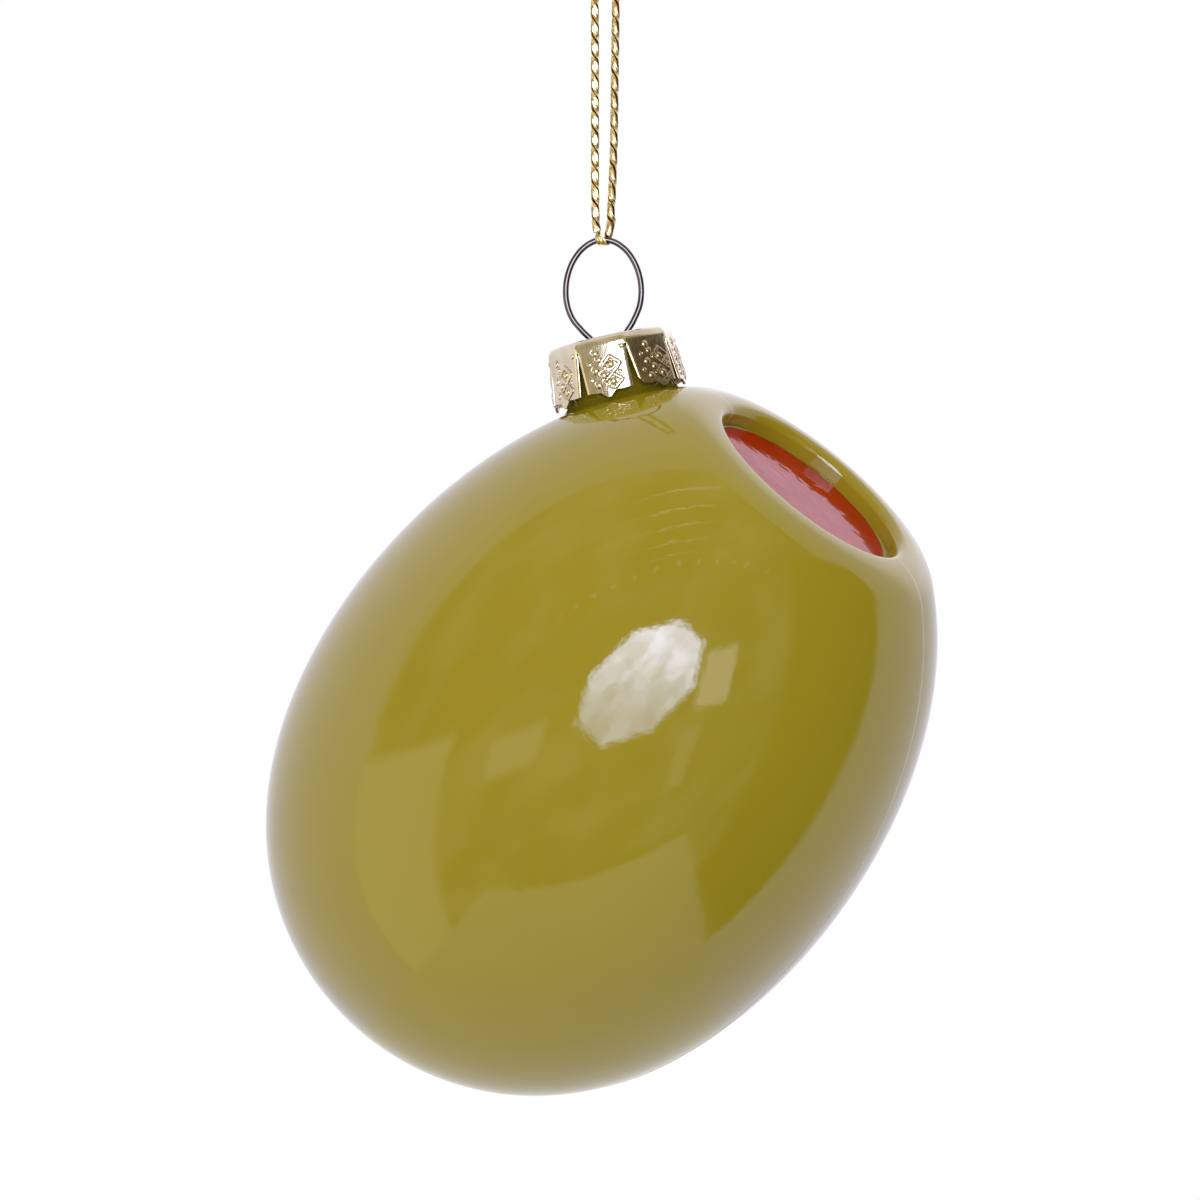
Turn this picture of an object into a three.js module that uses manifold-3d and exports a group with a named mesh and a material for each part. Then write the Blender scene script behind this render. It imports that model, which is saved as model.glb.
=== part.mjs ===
// Olive Christmas ornament: a hollow blown-glass olive with a red-stuffed recess, a stamped
// crown cap, a sprung wire hanger and a gold cord loop. Millimetres, +Z up. The front faces -Y.
// The origin is the point in the cord loop, just under its knot, where a hook holds it.
import * as THREE from 'three';
import { mergeVertices } from 'three/addons/utils/BufferGeometryUtils.js';
import Module from 'manifold-3d';

const wasm = await Module();
wasm.setup();
const degrees = THREE.MathUtils.degToRad;

// Fits
const seatGap = 0.3; // between two pieces that touch
const holePlay = 0.35; // between the hanger wire and the hole it passes through
const capPlay = 0.35; // between the crown's flats and the neck inside it
const legPlay = 0.6; // between the end of a hanger leg and the neck's bore
const pimentoPlay = 0.8; // between the red face and the wall of the recess

// Olive glass, measured from its widest section along its long axis
const bellyRadius = 34.0;
const pitSideLength = 48.4; // to the full tip, which the pit takes away
const blindSideLength = 42.8;
const pitSideFullness = 0.046; // 0 is an ellipse, more is fuller towards its end
const blindSideFullness = 0.204;
const glassWall = 1.0;
const oliveLean = degrees(38.6); // the pit end leans to the right
const oliveTip = degrees(18); // and then towards the front

// Pit recess
const lipSetback = 7.86; // from the full tip back to where the body turns over into the lip
const lipStation = pitSideLength - lipSetback;
const lipShoulderRadius = 7.84;
const lipInnerRadius = 1.2;
const pitDepth = 2.35; // from the lip's crest down to the red face
const pitFillet = 0.5;

// Red pimento face, seated on the floor of the recess
const pimentoThickness = 0.4;
const pimentoEdge = 0.12;

// Neck, along the cap's own axis
const neckSetback = 14.84; // from the full tip back to where the neck leaves the olive
const neckStation = pitSideLength - neckSetback;
const neckAzimuth = degrees(160); // and round that axis: the weight hangs nearly under the loop
const neckRadius = 6.2;
const neckBore = neckRadius - glassWall;
const neckRise = 6.8; // from the glass surface up to the cap's top
const neckFlare = 1.5;
const flareSweep = degrees(72);
const flareHeight = 0.35; // the flare starts this far above the glass surface
const boreReach = 5.0; // the bore runs this far past it into the hollow

// Crown cap
const capLean = degrees(12); // the cap's axis leans to the left
const capBackLean = degrees(2.5); // and a little to the back
const capSheet = 0.4;
const capFold = 0.8;
const petalCount = 8;
const petalFlatness = 0.6; // 0 is a round crown, 1 a true octagon
const petalShrink = petalFlatness * (1 - Math.cos(Math.PI / petalCount)); // at a petal's middle
const capRadius = (neckRadius + capPlay) / (1 - petalShrink) + capSheet;
const petalFlare = 0.65; // the petals lean out by this much at their points
const capFlareRadius = capRadius + petalFlare;
const petalPhase = degrees(12.6);
const petalReach = 0.1; // the points pass the neck's foot by this much, where the glass falls away
const petalTipLength = neckRise + petalReach;
const petalPoint = 0.7; // the point in the middle of a petal is this much longer
const petalLength = petalTipLength - petalPoint;
const petalTipWidth = 1.5;
const petalGapTop = 0.2;
const petalGapBottom = 1.0;
const petalGapStart = 1.2;

// Wire hanger
const wireRadius = 0.35;
const wireSpacing = 3.4; // between the two holes in the cap
const wireDrop = 13.0; // length of a leg below the cap's top
const wireSpread = neckBore - wireRadius - legPlay - wireSpacing / 2; // outward at a leg's end
const ringHalfWidth = 4.39;
const ringHalfHeight = 5.77;
const ringRise = 11.8; // from the cap's top to the middle of the wire at the ring's top
const ringOffset = 0.69; // the ring's top is this far left of the cap's centre
const leftSweep = degrees(148); // from the ring's top round its left side to where it turns down
const rightSweep = degrees(130);
const ringEgg = 0.045; // 0 is an even oval, more is wider below its middle
const legBend = 1.5; // 1 is a straight leg, more is a leg that turns outward lower down
const holeStretch = 1.5; // the wire crosses the cap's sheet at a slant

// Gold cord loop and its knot
const cordRadius = 0.435;
const loopDrop = 36.0; // from the hook down to the middle of the wire at the ring's top
const knotHeight = 4.6;
const knotHalfWidth = 1.75;
const knotHalfDepth = 1.4;
const knotHalfHeight = 1.55;
const knotBandRadius = 1.25;
const tailLength = 4.6;
const tailRoot = 0.5; // the tails leave the knot this far from its middle
const tailSpread = 1.5; // and end this far from it to the side
const tailSplay = 0.6; // and this far to the front and back

const ringTop = new THREE.Vector3(0, 0, -loopDrop);
const capTop = new THREE.Vector3(ringOffset, 0, -loopDrop - ringRise);

// Frames: the neck frame has its origin on the cap's top and +Z up the neck,
// and the olive frame has its origin at the widest section and +Z out through the pit.
const neckFrame = new THREE.Group();
neckFrame.rotation.set(-capBackLean, -capLean, 0, 'YXZ');
neckFrame.position.copy(capTop);
neckFrame.updateMatrix();

const oliveFrame = new THREE.Group();
oliveFrame.rotation.set(oliveTip, oliveLean, 0, 'YXZ');
const neckRoot = surfacePoint(neckStation, neckAzimuth).applyEuler(oliveFrame.rotation);
const neckFoot = new THREE.Vector3(0, 0, -neckRise).applyMatrix4(neckFrame.matrix);
oliveFrame.position.copy(neckFoot.sub(neckRoot));
oliveFrame.updateMatrix();

// Meshes and solids

function weld(geometry) {
  geometry.deleteAttribute('normal');
  geometry.deleteAttribute('uv');
  const welded = mergeVertices(geometry, 1e-4);
  const corners = welded.index.array;
  const kept = [];
  for (let i = 0; i < corners.length; i += 3) {
    const [a, b, c] = corners.slice(i, i + 3);
    if (a !== b && b !== c && c !== a) kept.push(a, b, c);
  }
  welded.setIndex(kept);
  return welded;
}

function toSolid(geometry) {
  const welded = weld(geometry);
  const vertProperties = new Float32Array(welded.attributes.position.array);
  const triVerts = new Uint32Array(welded.index.array);
  return new wasm.Manifold(new wasm.Mesh({ numProp: 3, vertProperties, triVerts }));
}

function toGeometry(solid) {
  const mesh = solid.getMesh();
  const geometry = new THREE.BufferGeometry();
  geometry.setAttribute('position', new THREE.BufferAttribute(mesh.vertProperties, 3));
  geometry.setIndex(new THREE.BufferAttribute(mesh.triVerts, 1));
  geometry.computeVertexNormals();
  return geometry;
}

// Turns an outline of [radius, height] points about +Z. It runs up the outside from the axis.
function revolve(outline, segments, startAngle = 0) {
  const points = outline.map(([radius, height]) => new THREE.Vector2(radius, height));
  const geometry = new THREE.LatheGeometry(points, segments, startAngle + Math.PI / 2);
  return geometry.rotateX(Math.PI / 2);
}

function section(radius, sides) {
  const points = [];
  for (let i = 0; i < sides; i += 1) {
    const angle = (2 * Math.PI * i) / sides;
    points.push(new THREE.Vector2(radius * Math.cos(angle), radius * Math.sin(angle)));
  }
  return new THREE.Shape(points);
}

function tube(points, radius, sides, steps) {
  const extrudePath = new THREE.CatmullRomCurve3(points, false, 'centripetal');
  return new THREE.ExtrudeGeometry(section(radius, sides), { steps, extrudePath });
}

function arc(centre, radius, from, to, steps) {
  const points = [];
  for (let i = 0; i <= steps; i += 1) {
    const angle = from + ((to - from) * i) / steps;
    points.push([centre[0] + radius * Math.sin(angle), centre[1] + radius * Math.cos(angle)]);
  }
  return points;
}

// Olive outline

function bodyRadius(station) {
  const length = station > 0 ? pitSideLength : blindSideLength;
  const fullness = station > 0 ? pitSideFullness : blindSideFullness;
  const share = (station / length) ** 2;
  return bellyRadius * Math.sqrt((1 - share) * (1 + fullness * share));
}

function surfacePoint(station, azimuth) {
  const radius = bodyRadius(station);
  return new THREE.Vector3(radius * Math.cos(azimuth), radius * Math.sin(azimuth), station);
}

// The lip's crest and the recess inside it, all set out from where the body meets the lip
function pitPlan() {
  const joinRadius = bodyRadius(lipStation);
  const share = (lipStation / pitSideLength) ** 2;
  const bulge = 1 - pitSideFullness + 2 * pitSideFullness * share;
  const slope = ((bellyRadius / pitSideLength) ** 2 * lipStation * bulge) / joinRadius;
  const joinAngle = Math.atan(1 / slope);
  const crestRadius = joinRadius - lipShoulderRadius * Math.sin(joinAngle);
  const crest = lipStation + lipShoulderRadius * (1 - Math.cos(joinAngle));
  const face = crest - pitDepth;
  return {
    joinAngle,
    crestRadius,
    crest,
    wallRadius: crestRadius - lipInnerRadius,
    face,
    floor: face - pimentoThickness - seatGap,
  };
}

function oliveOutline() {
  const pit = pitPlan();
  const outline = [];
  const steps = 11;
  for (let i = 0; i <= steps; i += 1) {
    const station = -blindSideLength * Math.cos((Math.PI / 2) * (i / steps));
    outline.push([bodyRadius(station), station]);
  }
  const lastAngle = Math.asin(lipStation / pitSideLength);
  for (let i = 1; i < steps; i += 1) {
    const station = pitSideLength * Math.sin(lastAngle * (i / steps));
    outline.push([bodyRadius(station), station]);
  }
  const shoulder = [pit.crestRadius, pit.crest - lipShoulderRadius];
  const round = [pit.crestRadius, pit.crest - lipInnerRadius];
  const fillet = [pit.wallRadius - pitFillet, pit.floor + pitFillet];
  outline.push(...arc(shoulder, lipShoulderRadius, pit.joinAngle, 0, 4));
  outline.push(...arc(round, lipInnerRadius, 0, -Math.PI / 2, 4).slice(1));
  outline.push(...arc(fillet, pitFillet, Math.PI / 2, Math.PI, 2));
  outline.push([0, pit.floor]);
  return outline;
}

// Moves an outline inward by a distance, at right angles to itself
function inset(outline, distance) {
  const last = outline.length - 1;
  return outline.map(([radius, height], i) => {
    const before = outline[Math.max(i - 1, 0)];
    const after = outline[Math.min(i + 1, last)];
    const along = new THREE.Vector2(after[0] - before[0], after[1] - before[1]).normalize();
    if (i === 0) along.set(1, 0);
    if (i === last) along.set(-1, 0);
    return [radius - distance * along.y, height + distance * along.x];
  });
}

// Glass shell, in the olive frame

function oliveShell() {
  const segments = 40;
  const outline = oliveOutline();
  const outside = toSolid(revolve(outline, segments));
  const inside = toSolid(revolve(inset(outline, glassWall), segments));
  const toOlive = oliveFrame.matrix.clone().invert().multiply(neckFrame.matrix);
  const neck = toSolid(neckBlank().applyMatrix4(toOlive));
  const bore = toSolid(boreCutter().applyMatrix4(toOlive));
  return toGeometry(outside.add(neck).subtract(inside).subtract(bore));
}

function neckBlank() {
  const top = -capSheet - seatGap;
  const foot = [neckRadius + neckFlare, flareHeight - neckRise];
  const flare = arc(foot, neckFlare, -Math.PI / 2, -Math.PI / 2 - flareSweep, 5);
  const outline = [[0, top], [neckRadius, top], ...flare, [0, flare.at(-1)[1]]];
  return revolve(outline.reverse(), 40);
}

function boreCutter() {
  const foot = -neckRise - boreReach;
  const outline = [[0, foot], [neckBore, foot], [neckBore, 0], [0, 0]];
  return revolve(outline, 32);
}

// Red face of the recess, in the olive frame

function pimento() {
  const pit = pitPlan();
  const radius = pit.wallRadius - pimentoPlay;
  const foot = pit.floor + seatGap;
  const corner = [radius - pimentoEdge, pit.face - pimentoEdge];
  const edge = arc(corner, pimentoEdge, Math.PI / 2, 0, 2);
  return weld(revolve([[0, foot], [radius, foot], ...edge, [0, pit.face]], 40));
}

// Crown cap, in the neck frame

function capCrown() {
  let crown = toSolid(crownBlank());
  for (let i = 0; i < petalCount; i += 1) {
    const angle = petalPhase + (2 * Math.PI * i) / petalCount;
    crown = crown.subtract(toSolid(petalGap(angle)));
  }
  for (const side of [-1, 1]) {
    crown = crown.subtract(toSolid(wireHole(side * (wireSpacing / 2))));
  }
  return toGeometry(crown);
}

function crownBlank() {
  const round = capRadius - capFold;
  const inner = capFold - capSheet;
  const outline = [
    [0, 0],
    ...arc([round, -capFold], capFold, 0, Math.PI / 2, 4),
    [capFlareRadius, -petalTipLength],
    [capFlareRadius - capSheet, -petalTipLength],
    ...arc([round, -capFold], inner, Math.PI / 2, 0, 2),
    [0, -capSheet],
  ];
  const geometry = revolve(outline.reverse(), petalCount * 6, petalPhase);
  const place = geometry.attributes.position;
  const halfPetal = Math.PI / petalCount;
  for (let i = 0; i < place.count; i += 1) {
    const azimuth = Math.atan2(place.getY(i), place.getX(i)) - petalPhase;
    const fromMiddle = THREE.MathUtils.euclideanModulo(azimuth, 2 * halfPetal) - halfPetal;
    const facet = Math.cos(halfPetal) / Math.cos(fromMiddle);
    const shrink = 1 - petalFlatness * (1 - facet);
    place.setX(i, place.getX(i) * shrink);
    place.setY(i, place.getY(i) * shrink);
  }
  return geometry;
}

// The gap between two petals, with the shoulders below it down to the points on both sides
function petalGap(angle) {
  const halfPitch = capFlareRadius * Math.sin(Math.PI / petalCount);
  const half = [
    [petalGapTop / 2, -petalGapStart],
    [petalGapBottom / 2, -petalLength],
    [halfPitch - petalTipWidth / 2, -petalLength],
    [halfPitch, -petalTipLength],
    [halfPitch, -petalTipLength - 1],
  ];
  const mirrored = half.map(([across, height]) => [-across, height]).reverse();
  const shape = new THREE.Shape([...half, ...mirrored].map(([x, y]) => new THREE.Vector2(x, y)));
  const geometry = new THREE.ExtrudeGeometry(shape, { depth: capFlareRadius, bevelEnabled: false });
  const outward = new THREE.Vector3(Math.cos(angle), Math.sin(angle), 0);
  const up = new THREE.Vector3(0, 0, 1);
  const across = up.clone().cross(outward);
  const turn = new THREE.Matrix4().makeBasis(across, up, outward);
  return geometry.translate(0, 0, capRadius / 2).applyMatrix4(turn);
}

function wireHole(across) {
  const radius = wireRadius + holePlay;
  const hole = new THREE.CylinderGeometry(radius, radius, 4 * capSheet, 16);
  return hole.rotateX(Math.PI / 2).scale(holeStretch, 1, 1).translate(across, 0, -capSheet / 2);
}

// Wire hanger: an oval ring whose two legs pass through the cap and spring outward in the neck

function hangerWire() {
  const across = new THREE.Vector3(Math.cos(capLean), 0, Math.sin(capLean));
  const down = new THREE.Vector3(Math.sin(capLean), 0, -Math.cos(capLean));
  const middle = ringTop.clone().add(new THREE.Vector3(0, 0, -ringHalfHeight));
  const ringSteps = 12;
  const legShares = [0, 0.06, 0.2, 0.5, 1];
  const ring = [];
  for (let i = 0; i <= ringSteps; i += 1) {
    const angle = THREE.MathUtils.lerp(-leftSweep, rightSweep, i / ringSteps);
    const x = ringHalfWidth * (1 - ringEgg * Math.cos(angle)) * Math.sin(angle);
    const z = ringHalfHeight * Math.cos(angle);
    ring.push(middle.clone().add(new THREE.Vector3(x, 0, z)));
  }
  const leg = (side) =>
    legShares.map((share) =>
      capTop
        .clone()
        .addScaledVector(across, side * (wireSpacing / 2 + wireSpread * share ** legBend))
        .addScaledVector(down, wireDrop * share),
    );
  return weld(tube([...leg(-1).reverse(), ...ring, ...leg(1)], wireRadius, 8, 70));
}

// Gold cord: down its left leg, round the wire at the ring's top and up its right leg.
// Points of the legs are measured from the hook and those of the bend from the ring's top.

function hangingCord() {
  const leftLeg = [
    [-0.62, 0, 2.75],
    [-1.1, 0, 1.7],
    [-1.32, 0, 0.3],
    [-1.25, 0, -2.5],
    [-1.05, 0, -7],
    [-0.99, 0, -13],
    [-0.99, 0, -19],
    [-0.99, -0.1, -25],
    [-0.98, -0.35, -30],
    [-0.93, -0.7, -33],
  ];
  const bend = [
    [-0.8, -1.05, 1.4],
    [-0.52, -1.14, 0.15],
    [-0.22, -0.84, -0.76],
    [0.03, 0, -1.13],
    [0.26, 0.84, -0.76],
    [0.5, 1.14, 0.15],
    [0.74, 1.05, 1.4],
  ];
  const rightLeg = [
    [0.86, 0.7, -33],
    [1.02, 0.35, -30],
    [1.2, 0.1, -25],
    [1.29, 0, -19],
    [1.38, 0, -13],
    [1.46, 0, -7],
    [1.52, 0, -2.5],
    [1.42, 0, 0.3],
    [1.12, 0, 1.7],
    [0.62, 0, 2.75],
  ];
  const fromRing = ([x, y, z]) => new THREE.Vector3(x, y, z).add(ringTop);
  const fromHook = (point) => new THREE.Vector3(...point);
  const route = [...leftLeg.map(fromHook), ...bend.map(fromRing), ...rightLeg.map(fromHook)];
  return weld(tube(route, cordRadius, 8, 56));
}

// Overhand knot of both cord ends, with its two short tails

function cordKnot() {
  const core = new THREE.SphereGeometry(1, 16, 10);
  core.scale(knotHalfWidth, knotHalfDepth, knotHalfHeight).translate(0, 0, knotHeight);
  const band = new THREE.TorusGeometry(knotBandRadius, cordRadius, 8, 18);
  band.rotateX(degrees(68)).rotateY(degrees(24)).translate(0, 0, knotHeight);
  let knot = toSolid(core).add(toSolid(band));
  const crown = knotHeight + knotHalfHeight;
  const tailShares = [-0.2, 0.35, 0.7, 1];
  for (const side of [-1, 1]) {
    const tail = tailShares.map((share) => {
      const outward = Math.max(share, 0) ** 2;
      const x = tailRoot + (tailSpread - tailRoot) * outward;
      return new THREE.Vector3(side * x, side * tailSplay * outward, crown + tailLength * share);
    });
    knot = knot.add(toSolid(tube(tail, cordRadius, 8, 6)));
  }
  return toGeometry(knot);
}

// Assembly

function piece(name, geometry, color, roughness, metalness) {
  const mesh = new THREE.Mesh(geometry, new THREE.MeshStandardMaterial({ color, roughness, metalness }));
  mesh.name = name;
  return mesh;
}

oliveFrame.add(piece('olive_shell', oliveShell(), 0x96852a, 0.06, 0));
oliveFrame.add(piece('pimento', pimento(), 0xa61c0c, 0.1, 0));
neckFrame.add(piece('cap_crown', capCrown(), 0xd8c796, 0.25, 1));

const ornament = new THREE.Group();
ornament.add(
  piece('cord_knot', cordKnot(), 0xc9a23a, 0.35, 1),
  piece('hanging_cord', hangingCord(), 0xc9a23a, 0.35, 1),
  piece('hanger_wire', hangerWire(), 0x8d8a8c, 0.2, 1),
  neckFrame,
  oliveFrame,
);

export default ornament;
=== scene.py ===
import math

import bpy
import numpy as np
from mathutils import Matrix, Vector, noise
from mathutils.geometry import delaunay_2d_cdt


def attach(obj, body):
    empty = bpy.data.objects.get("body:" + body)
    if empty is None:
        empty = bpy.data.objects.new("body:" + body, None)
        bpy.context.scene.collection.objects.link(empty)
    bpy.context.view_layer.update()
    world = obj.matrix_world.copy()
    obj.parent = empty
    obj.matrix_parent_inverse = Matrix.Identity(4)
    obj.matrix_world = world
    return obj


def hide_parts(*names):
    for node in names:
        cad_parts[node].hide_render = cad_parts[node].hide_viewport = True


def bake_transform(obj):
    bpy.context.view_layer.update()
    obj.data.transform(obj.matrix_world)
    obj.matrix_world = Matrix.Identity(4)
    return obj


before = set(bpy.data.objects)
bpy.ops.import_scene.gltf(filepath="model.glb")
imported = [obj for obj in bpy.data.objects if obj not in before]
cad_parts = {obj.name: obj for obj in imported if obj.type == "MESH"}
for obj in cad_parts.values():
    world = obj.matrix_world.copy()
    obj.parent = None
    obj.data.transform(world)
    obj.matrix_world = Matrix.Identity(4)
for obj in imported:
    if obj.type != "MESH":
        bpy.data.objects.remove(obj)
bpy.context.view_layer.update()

MM = 0.001

# Camera
focal_pixels = 6450
image_pixels = 1200
camera_place = (-0.41, -750.0, -77.9)

# Cord and its knot
cord_end = 0.62  # to the side, where each leg enters the knot
cord_top = 2.75
cord_lay = 6.4  # a full turn of its three plies
ply_count = 3
ply_offset = 0.26
ply_section = [  # to the side and outward from a ply's middle, its creased face outward
    (0.33, 0.03), (0.29, 0.13), (0.0, 0.165), (-0.29, 0.13),
    (-0.33, 0.03), (-0.2, -0.12), (0.0, -0.19), (0.2, -0.12),
]
ply_step = 0.12  # from one cross-section of a ply to the next
ply_pause = 0.8  # how much the plies' turn pauses where one faces the front or the back
pause_start = 1.5  # from the wire to where the pauses are full
pressed_spacing = 0.38  # between plies that lie side by side against the wire
ring_top = np.array([0.0, 0.0, -36.0])
knot_height = 4.6
strand_shift = np.array([0.16, 0.36, 0])  # of each strand in the knot, to its own side

# Wire hanger
wire_radius = 0.35
wire_spacing = 3.4
wire_drop = 13.0
wire_spread = 2.55
ring_half_width = 4.39
ring_half_height = 5.77
left_sweep = math.radians(148)
right_sweep = math.radians(130)
ring_egg = 0.045  # 0 is an even oval, more is wider below its middle
leg_bend = 1.5  # 1 is a straight leg, more is a leg that turns outward lower down

# Crown cap
cap_top = np.array([0.69, 0.0, -47.8])
cap_lean = math.radians(12)
cap_back_lean = math.radians(2.5)
cap_radius = 7.263
cap_flare = 0.65
cap_fold = 0.8
cap_sheet = 0.28
petal_count = 8
petal_flatness = 0.6  # 0 is a round crown, 1 a true octagon
petal_phase = math.radians(12.6)
petal_length = 6.25
petal_half = math.pi / petal_count
petal_start = -1.2  # the gaps between the petals begin here, below the cap's top
petal_columns = 64
petal_shares = np.linspace(-1, 1, petal_columns + 1)  # across a petal, from its left edge
petal_rows = 56

# Olive, measured from its widest section along its long axis
belly_radius = 34.0
pit_side_length = 48.4
blind_side_length = 42.8
pit_side_fullness = 0.046  # 0 is an ellipse, more is fuller towards its end
blind_side_fullness = 0.204
olive_lean = math.radians(38.6)
olive_tip = math.radians(18)
glass_wall = 1.0
outer_columns = 160
inner_columns = 90
neck_columns = 120

# Neck
neck_radius = 6.2
neck_bore = neck_radius - glass_wall
neck_rise = 6.8
neck_flare = 1.5
neck_top = -0.7
neck_azimuth = math.radians(160)
neck_station = 33.56
neck_rim = (neck_radius - neck_bore) / 2
outer_patch = neck_radius + neck_flare + 0.9  # the body's own grid starts beyond this radius
inner_flare = neck_flare + glass_wall
inner_patch = neck_bore + inner_flare + 0.6
lowest_neck = -22.0  # the neck's axis meets the far side of the body below this

# Pit and its red face
lip_station = 40.54
lip_shoulder = 7.84
lip_inner = 1.2
pit_depth = 2.35
pit_fillet = 0.12
red_depth = 0.16
red_radius = 12.02
red_rounding = 0.14
seam_azimuth = math.radians(165.8)
seam_half_width = 0.0095  # radians
seam_clear = 0.02  # no evenly spaced column of the grid lies closer to the seam, in radians
seam_rise = 0.055
seam_fade = 4.0  # the seam's ridge sinks over this length below the lip


# Frames

def turn_x(angle):
    c, s = math.cos(angle), math.sin(angle)
    return np.array([[1, 0, 0], [0, c, -s], [0, s, c]])


def turn_y(angle):
    c, s = math.cos(angle), math.sin(angle)
    return np.array([[c, 0, s], [0, 1, 0], [-s, 0, c]])


def ring(radius, angles, height):
    return np.stack([radius * np.cos(angles), radius * np.sin(angles), height], -1)


def body_radius(station):
    station = np.asarray(station, float)
    length = np.where(station > 0, pit_side_length, blind_side_length)
    fullness = np.where(station > 0, pit_side_fullness, blind_side_fullness)
    share = (station / length) ** 2
    return belly_radius * np.sqrt(np.maximum((1 - share) * (1 + fullness * share), 0))


neck_turn = turn_y(-cap_lean) @ turn_x(-cap_back_lean)
olive_turn = turn_y(olive_lean) @ turn_x(olive_tip)
neck_root = ring(body_radius(neck_station), neck_azimuth, neck_station)
olive_centre = cap_top - neck_rise * neck_turn[:, 2] - olive_turn @ neck_root


def from_neck(points):
    return np.asarray(points, float) @ neck_turn.T + cap_top


def to_neck(points):
    return (np.asarray(points, float) - cap_top) @ neck_turn


def from_olive(points):
    return np.asarray(points, float) @ olive_turn.T + olive_centre


def to_olive(points):
    return (np.asarray(points, float) - olive_centre) @ olive_turn


# Meshes

def unit(vectors):
    return vectors / np.maximum(np.linalg.norm(vectors, axis=-1, keepdims=True), 1e-12)


def make_mesh(name, points, faces, normals=None, smooth=True):
    mesh = bpy.data.meshes.new(name)
    mesh.from_pydata([tuple(p) for p in np.asarray(points) * MM], [], [tuple(f) for f in faces])
    mesh.polygons.foreach_set("use_smooth", [smooth] * len(mesh.polygons))
    if normals is not None:
        mesh.normals_split_custom_set_from_vertices([tuple(n) for n in normals])
    obj = bpy.data.objects.new(name, mesh)
    bpy.context.scene.collection.objects.link(obj)
    return obj


def round_angles(count):
    return np.linspace(0, 2 * math.pi, count, endpoint=False)


def grid_faces(rows, columns, closed=False, first=0):
    """Four-sided faces of a grid whose points run along each row in turn."""
    faces = []
    for i in range(rows - 1):
        for j in range(columns if closed else columns - 1):
            k = (j + 1) % columns
            low, high = first + i * columns, first + (i + 1) * columns
            faces.append((low + j, low + k, high + k, high + j))
    return faces


def fill_between(loops, flat):
    """Triangles between an outer loop and the loops inside it. Loops hold point numbers."""
    numbers = [n for loop in loops for n in loop]
    edges = []
    first = 0
    for loop in loops:
        edges += [(first + i, first + (i + 1) % len(loop)) for i in range(len(loop))]
        first += len(loop)
    points = [Vector(flat[n][:2].tolist()) for n in numbers]
    result = delaunay_2d_cdt(points, edges, [], 2, 1e-7)
    source = [(found[0] if found else None) for found in result[3]]
    faces = []
    for face in result[2]:
        corners = [source[corner] for corner in face]
        if None not in corners and len(set(corners)) == 3:
            faces.append(tuple(numbers[corner] for corner in corners))
    return faces


def reach_along(path):
    """Distance along a path at each of its points."""
    return np.concatenate([[0], np.cumsum(np.linalg.norm(np.diff(path, axis=0), axis=1))])


def between(time, start, stop, first, last):
    """Places at a time, on the line that is at first at the start and at last at the stop."""
    whole = stop - start
    return (stop - time) / whole * first + (time - start) / whole * last


def smooth_path(points, spacing):
    """Points at an even spacing along a smooth curve through the given ones."""
    points = np.asarray(points, float)
    knots = np.concatenate([[0], np.cumsum(np.linalg.norm(np.diff(points, axis=0), axis=1) ** 0.5)])
    chain = np.vstack([2 * points[0] - points[1], points, 2 * points[-1] - points[-2]])
    times = np.concatenate([[2 * knots[0] - knots[1]], knots, [2 * knots[-1] - knots[-2]]])
    found = []
    for i in range(len(points) - 1):
        t = np.linspace(times[i + 1], times[i + 2], 40, endpoint=False)[:, None]
        lines = [between(t, times[k], times[k + 1], chain[k], chain[k + 1]) for k in (i, i + 1, i + 2)]
        bends = [between(t, times[i + k], times[i + k + 2], lines[k], lines[k + 1]) for k in (0, 1)]
        found.append(between(t, times[i + 1], times[i + 2], *bends))
    dense = np.vstack(found + [points[-1:]])
    reach = reach_along(dense)
    count = max(int(round(reach[-1] / spacing)), 2)
    places = np.linspace(0, reach[-1], count + 1)
    return np.stack([np.interp(places, reach, dense[:, k]) for k in range(3)], 1)


def path_frames(path):
    """Two directions across a path, carried along it without twist."""
    along = unit(np.gradient(path, axis=0))
    side = np.array([0.0, 1.0, 0.0])
    sides = []
    for direction in along:
        side = side - direction * np.dot(side, direction)
        side = side / np.linalg.norm(side)
        sides.append(side)
    sides = np.array(sides)
    return sides, np.cross(along, sides)


def tube_faces(rows, around):
    """Faces of a tube that ends in a point at both ends. The two points come after its grid."""
    faces = grid_faces(rows, around, closed=True)
    last = rows * around
    for j in range(around):
        k = (j + 1) % around
        faces.append((last, k, j))
        faces.append((last + 1, last - around + j, last - around + k))
    return faces


def sweep(path, radius, around):
    """Points and faces of a round tube, with a radius for each point of its path."""
    sides, others = path_frames(path)
    angles = round_angles(around)
    rings = []
    for centre, side, other, size in zip(path, sides, others, radius):
        out = np.outer(np.cos(angles), side) + np.outer(np.sin(angles), other)
        rings.append(centre + size * out)
    points = np.vstack(rings + [path[:1], path[-1:]])
    return points, tube_faces(len(path), around)


def join(parts):
    """One list of points and faces from several."""
    points, faces, first = [], [], 0
    for part_points, part_faces in parts:
        points.append(part_points)
        faces += [tuple(first + corner for corner in face) for face in part_faces]
        first += len(part_points)
    return np.vstack(points), faces


def add_values(obj, name, values):
    """A number at each point of a mesh, which its material reads by name."""
    layer = obj.data.attributes.new(name, "FLOAT", "POINT")
    layer.data.foreach_set("value", np.asarray(values, np.float32))


# Camera

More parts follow.
